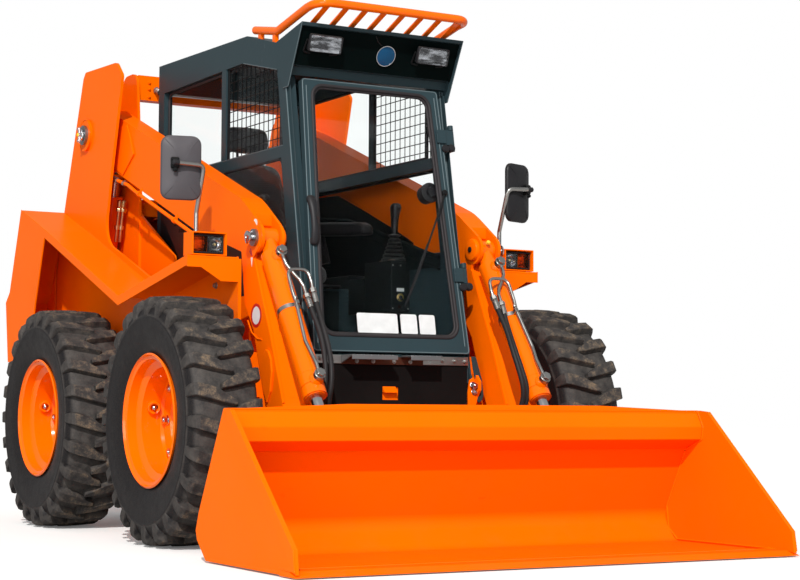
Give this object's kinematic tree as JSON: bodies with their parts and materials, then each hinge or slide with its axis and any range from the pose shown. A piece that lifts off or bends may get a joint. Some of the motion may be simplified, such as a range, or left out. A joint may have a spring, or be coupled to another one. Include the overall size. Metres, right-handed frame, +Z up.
{
  "type": "skid steer loader",
  "caption": "Wheeled skid steer loader with a cab, two lift arms, hydraulic cylinders, a tilting bucket, hinged doors and turning wheels.",
  "frame": {"origin": "on the ground below the middle of the machine's length and width, wheels and bucket standing on Z = 0", "axes": "-Y is the machine's front, +X its left, +Z up"},
  "size_m": [1.95, 3.368, 2.0189],
  "materials": {
    "orange_paint": "gloss",
    "cab_paint": "satin",
    "black_paint": "satin",
    "tyre_rubber": "matte",
    "black_plastic": "matte",
    "window_glass": "clear",
    "seat_cover": "matte",
    "lamp_body": "gloss",
    "engine_iron": "cast",
    "chrome_rod": "polished",
    "pin_steel": "zinc"
  },
  "bodies": {
    "chassis": {"frame_sides": "orange_paint", "chaincases": "orange_paint", "belly_pan": "orange_paint", "rear_bumper": "orange_paint", "axle_housings": "black_paint", "engine_block": "engine_iron", "side_louvres": "black_paint", "tower_left": "orange_paint", "tower_right": "orange_paint", "tower_pins": "pin_steel", "tower_cross_beam": "orange_paint", "fender_left": "orange_paint", "fender_right": "orange_paint", "cab_frame": "cab_paint", "cab_roof": "cab_paint", "roof_guard": "orange_paint", "side_guards": "black_paint", "cab_windows": "window_glass", "seat": "seat_cover", "controls": "black_plastic", "turn_lamps": "lamp_body", "work_lamps": "lamp_body", "mirrors": "black_plastic", "front_step": "black_plastic"},
    "arms": {"arm_left": "orange_paint", "arm_right": "orange_paint", "arm_cross_tube": "orange_paint", "arm_pins": "pin_steel"},
    "bucket": {"coupler": "orange_paint", "bucket": "orange_paint", "cutting_edge": "orange_paint"},
    "cab_door": {"cab_door": "cab_paint", "door_glass": "window_glass", "door_handle": "black_plastic"},
    "rear_door": {"rear_door": "orange_paint"},
    "engine_hood": {"engine_hood": "orange_paint"},
    "lift_barrel_left": {"lift_barrel_left": "orange_paint"},
    "lift_rod_left": {"lift_rod_left": "chrome_rod"},
    "tilt_barrel_left": {"tilt_barrel_left": "orange_paint"},
    "tilt_rod_left": {"tilt_rod_left": "chrome_rod"},
    "lift_barrel_right": {"lift_barrel_right": "orange_paint"},
    "lift_rod_right": {"lift_rod_right": "chrome_rod"},
    "tilt_barrel_right": {"tilt_barrel_right": "orange_paint"},
    "tilt_rod_right": {"tilt_rod_right": "chrome_rod"},
    "wheel_front_left": {"tyre_front_left": "tyre_rubber", "rim_front_left": "orange_paint"},
    "wheel_front_right": {"tyre_front_right": "tyre_rubber", "rim_front_right": "orange_paint"},
    "wheel_rear_left": {"tyre_rear_left": "tyre_rubber", "rim_rear_left": "orange_paint"},
    "wheel_rear_right": {"tyre_rear_right": "tyre_rubber", "rim_rear_right": "orange_paint"}
  },
  "joints": [
    {"name": "arm_lift", "type": "hinge", "parent": "chassis", "child": "arms", "pos_m": [0, 1.207, 1.711], "axis": [-1, 0, 0], "range_deg": [0, 68]},
    {"name": "bucket_tilt", "type": "hinge", "parent": "arms", "child": "bucket", "pos_m": [0, -0.9, 0.195], "axis": [1, 0, 0], "range_deg": [-25, 106]},
    {"name": "cab_door_swing", "type": "hinge", "parent": "chassis", "child": "cab_door", "pos_m": [0.352, -0.47087, 1.20034], "axis": [0, 0.1805, 0.9836], "range_deg": [0, 90]},
    {"name": "rear_door_swing", "type": "hinge", "parent": "chassis", "child": "rear_door", "pos_m": [0.398, 1.622, 0.8], "axis": [0, 0, -1], "range_deg": [0, 110]},
    {"name": "hood_lift", "type": "hinge", "parent": "chassis", "child": "engine_hood", "pos_m": [0, 1.065, 1.412], "axis": [1, 0, 0], "range_deg": [0, 55]},
    {"name": "lift_barrel_left_swing", "type": "hinge", "parent": "chassis", "child": "lift_barrel_left", "pos_m": [0.474, 1.345, 0.6], "axis": [1, 0, 0], "range_deg": [0, 0.466]},
    {"name": "lift_rod_left_slide", "type": "slide", "parent": "lift_barrel_left", "child": "lift_rod_left", "axis": [0, -0.2761, 0.9611], "range_m": [0, 0.24385]},
    {"name": "tilt_barrel_left_swing", "type": "hinge", "parent": "arms", "child": "tilt_barrel_left", "pos_m": [0.474, -0.45, 1.125], "axis": [1, 0, 0], "range_deg": [-0.37, 1.56]},
    {"name": "tilt_rod_left_slide", "type": "slide", "parent": "tilt_barrel_left", "child": "tilt_rod_left", "axis": [0, -0.5593, -0.829], "range_m": [-0.08399, 0.35611]},
    {"name": "lift_barrel_right_swing", "type": "hinge", "parent": "chassis", "child": "lift_barrel_right", "pos_m": [-0.474, 1.345, 0.6], "axis": [1, 0, 0], "range_deg": [0, 0.466]},
    {"name": "lift_rod_right_slide", "type": "slide", "parent": "lift_barrel_right", "child": "lift_rod_right", "axis": [0, -0.2761, 0.9611], "range_m": [0, 0.24385]},
    {"name": "tilt_barrel_right_swing", "type": "hinge", "parent": "arms", "child": "tilt_barrel_right", "pos_m": [-0.474, -0.45, 1.125], "axis": [1, 0, 0], "range_deg": [-0.37, 1.56]},
    {"name": "tilt_rod_right_slide", "type": "slide", "parent": "tilt_barrel_right", "child": "tilt_rod_right", "axis": [0, -0.5593, -0.829], "range_m": [-0.08399, 0.35611]},
    {"name": "wheel_front_left_spin", "type": "hinge", "parent": "chassis", "child": "wheel_front_left", "pos_m": [0.7765, -0.355, 0.4525], "axis": [1, 0, 0], "continuous": true},
    {"name": "wheel_front_right_spin", "type": "hinge", "parent": "chassis", "child": "wheel_front_right", "pos_m": [-0.7765, -0.355, 0.4525], "axis": [1, 0, 0], "continuous": true},
    {"name": "wheel_rear_left_spin", "type": "hinge", "parent": "chassis", "child": "wheel_rear_left", "pos_m": [0.7765, 0.852, 0.4525], "axis": [1, 0, 0], "continuous": true},
    {"name": "wheel_rear_right_spin", "type": "hinge", "parent": "chassis", "child": "wheel_rear_right", "pos_m": [-0.7765, 0.852, 0.4525], "axis": [1, 0, 0], "continuous": true}
  ],
  "couplings": [
    {"joint": "lift_barrel_left_swing", "follows": "arm_lift", "ratio": 0.006724},
    {"joint": "lift_rod_left_slide", "follows": "arm_lift", "m_per_rad": 0.20343},
    {"joint": "tilt_barrel_left_swing", "follows": "bucket_tilt", "ratio": 0.014008},
    {"joint": "tilt_rod_left_slide", "follows": "bucket_tilt", "m_per_rad": 0.18871},
    {"joint": "lift_barrel_right_swing", "follows": "arm_lift", "ratio": 0.006724},
    {"joint": "lift_rod_right_slide", "follows": "arm_lift", "m_per_rad": 0.20343},
    {"joint": "tilt_barrel_right_swing", "follows": "bucket_tilt", "ratio": 0.014008},
    {"joint": "tilt_rod_right_slide", "follows": "bucket_tilt", "m_per_rad": 0.18871}
  ]
}
